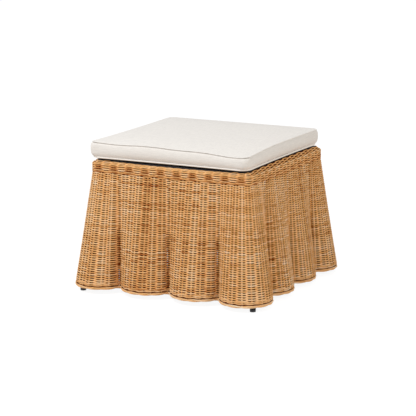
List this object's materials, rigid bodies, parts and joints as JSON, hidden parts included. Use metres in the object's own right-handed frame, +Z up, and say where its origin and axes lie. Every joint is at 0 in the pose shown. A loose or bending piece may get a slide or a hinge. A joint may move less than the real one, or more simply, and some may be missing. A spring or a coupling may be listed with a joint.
{
  "type": "outdoor ottoman footstool",
  "caption": "Square patio footstool: a scalloped woven rattan skirt round a pole frame, with a loose box cushion on a flat deck.",
  "frame": {"origin": "on the floor, under the middle of the skirt", "axes": "+Z up, the front faces -Y, +X to the right seen from the front"},
  "size_m": [0.65, 0.65, 0.461],
  "materials": {
    "rattan_weave": "natural woven rattan core, clear satin lacquer",
    "rattan_pole": "peeled rattan pole, clear satin lacquer",
    "black_board": "plywood, matt black stain",
    "batten_wood": "planed softwood",
    "black_plastic": "moulded black plastic",
    "nail_steel": "bright steel nail",
    "cover_cloth": "off-white plain woven outdoor cloth",
    "cushion_foam": "open cell foam",
    "zip_tape": "woven tape with moulded teeth",
    "slider_metal": "die-cast, nickel plated"
  },
  "bodies": {
    "base": {"rim_band_front": "rattan_weave", "top_rail_front": "rattan_pole", "mid_rail_front": "rattan_pole", "low_rail_front": "rattan_pole", "rib_front_a": "rattan_pole", "rib_front_b": "rattan_pole", "rib_front_c": "rattan_pole", "rim_band_right": "rattan_weave", "top_rail_right": "rattan_pole", "mid_rail_right": "rattan_pole", "low_rail_right": "rattan_pole", "rib_right_a": "rattan_pole", "rib_right_b": "rattan_pole", "rib_right_c": "rattan_pole", "rim_band_back": "rattan_weave", "top_rail_back": "rattan_pole", "mid_rail_back": "rattan_pole", "low_rail_back": "rattan_pole", "rib_back_a": "rattan_pole", "rib_back_b": "rattan_pole", "rib_back_c": "rattan_pole", "rim_band_left": "rattan_weave", "top_rail_left": "rattan_pole", "mid_rail_left": "rattan_pole", "low_rail_left": "rattan_pole", "rib_left_a": "rattan_pole", "rib_left_b": "rattan_pole", "rib_left_c": "rattan_pole", "skirt_front_a": "rattan_weave", "skirt_front_b": "rattan_weave", "skirt_right_a": "rattan_weave", "skirt_right_b": "rattan_weave", "skirt_back_a": "rattan_weave", "skirt_back_b": "rattan_weave", "skirt_left_a": "rattan_weave", "skirt_left_b": "rattan_weave", "skirt_corner_front_right": "rattan_weave", "skirt_corner_back_right": "rattan_weave", "skirt_corner_back_left": "rattan_weave", "skirt_corner_front_left": "rattan_weave", "leg_front_right": "rattan_pole", "glide_front_right": "black_plastic", "glide_nail_front_right": "nail_steel", "leg_back_right": "rattan_pole", "glide_back_right": "black_plastic", "glide_nail_back_right": "nail_steel", "leg_back_left": "rattan_pole", "glide_back_left": "black_plastic", "glide_nail_back_left": "nail_steel", "leg_front_left": "rattan_pole", "glide_front_left": "black_plastic", "glide_nail_front_left": "nail_steel", "seat_deck": "black_board", "deck_batten_left": "batten_wood", "deck_batten_right": "batten_wood"},
    "cushion": {"cushion_cover": "cover_cloth", "cushion_foam": "cushion_foam", "zip_tape": "zip_tape"},
    "zip_slider": {"zip_slider": "slider_metal"}
  },
  "joints": [
    {"name": "cushion_lift", "type": "slide", "parent": "base", "child": "cushion", "axis": [0, 0, 1], "range_m": [0, 0.15]},
    {"name": "zip_slide", "type": "slide", "parent": "cushion", "child": "zip_slider", "axis": [-1, 0, 0], "range_m": [0, 0.395]}
  ]
}
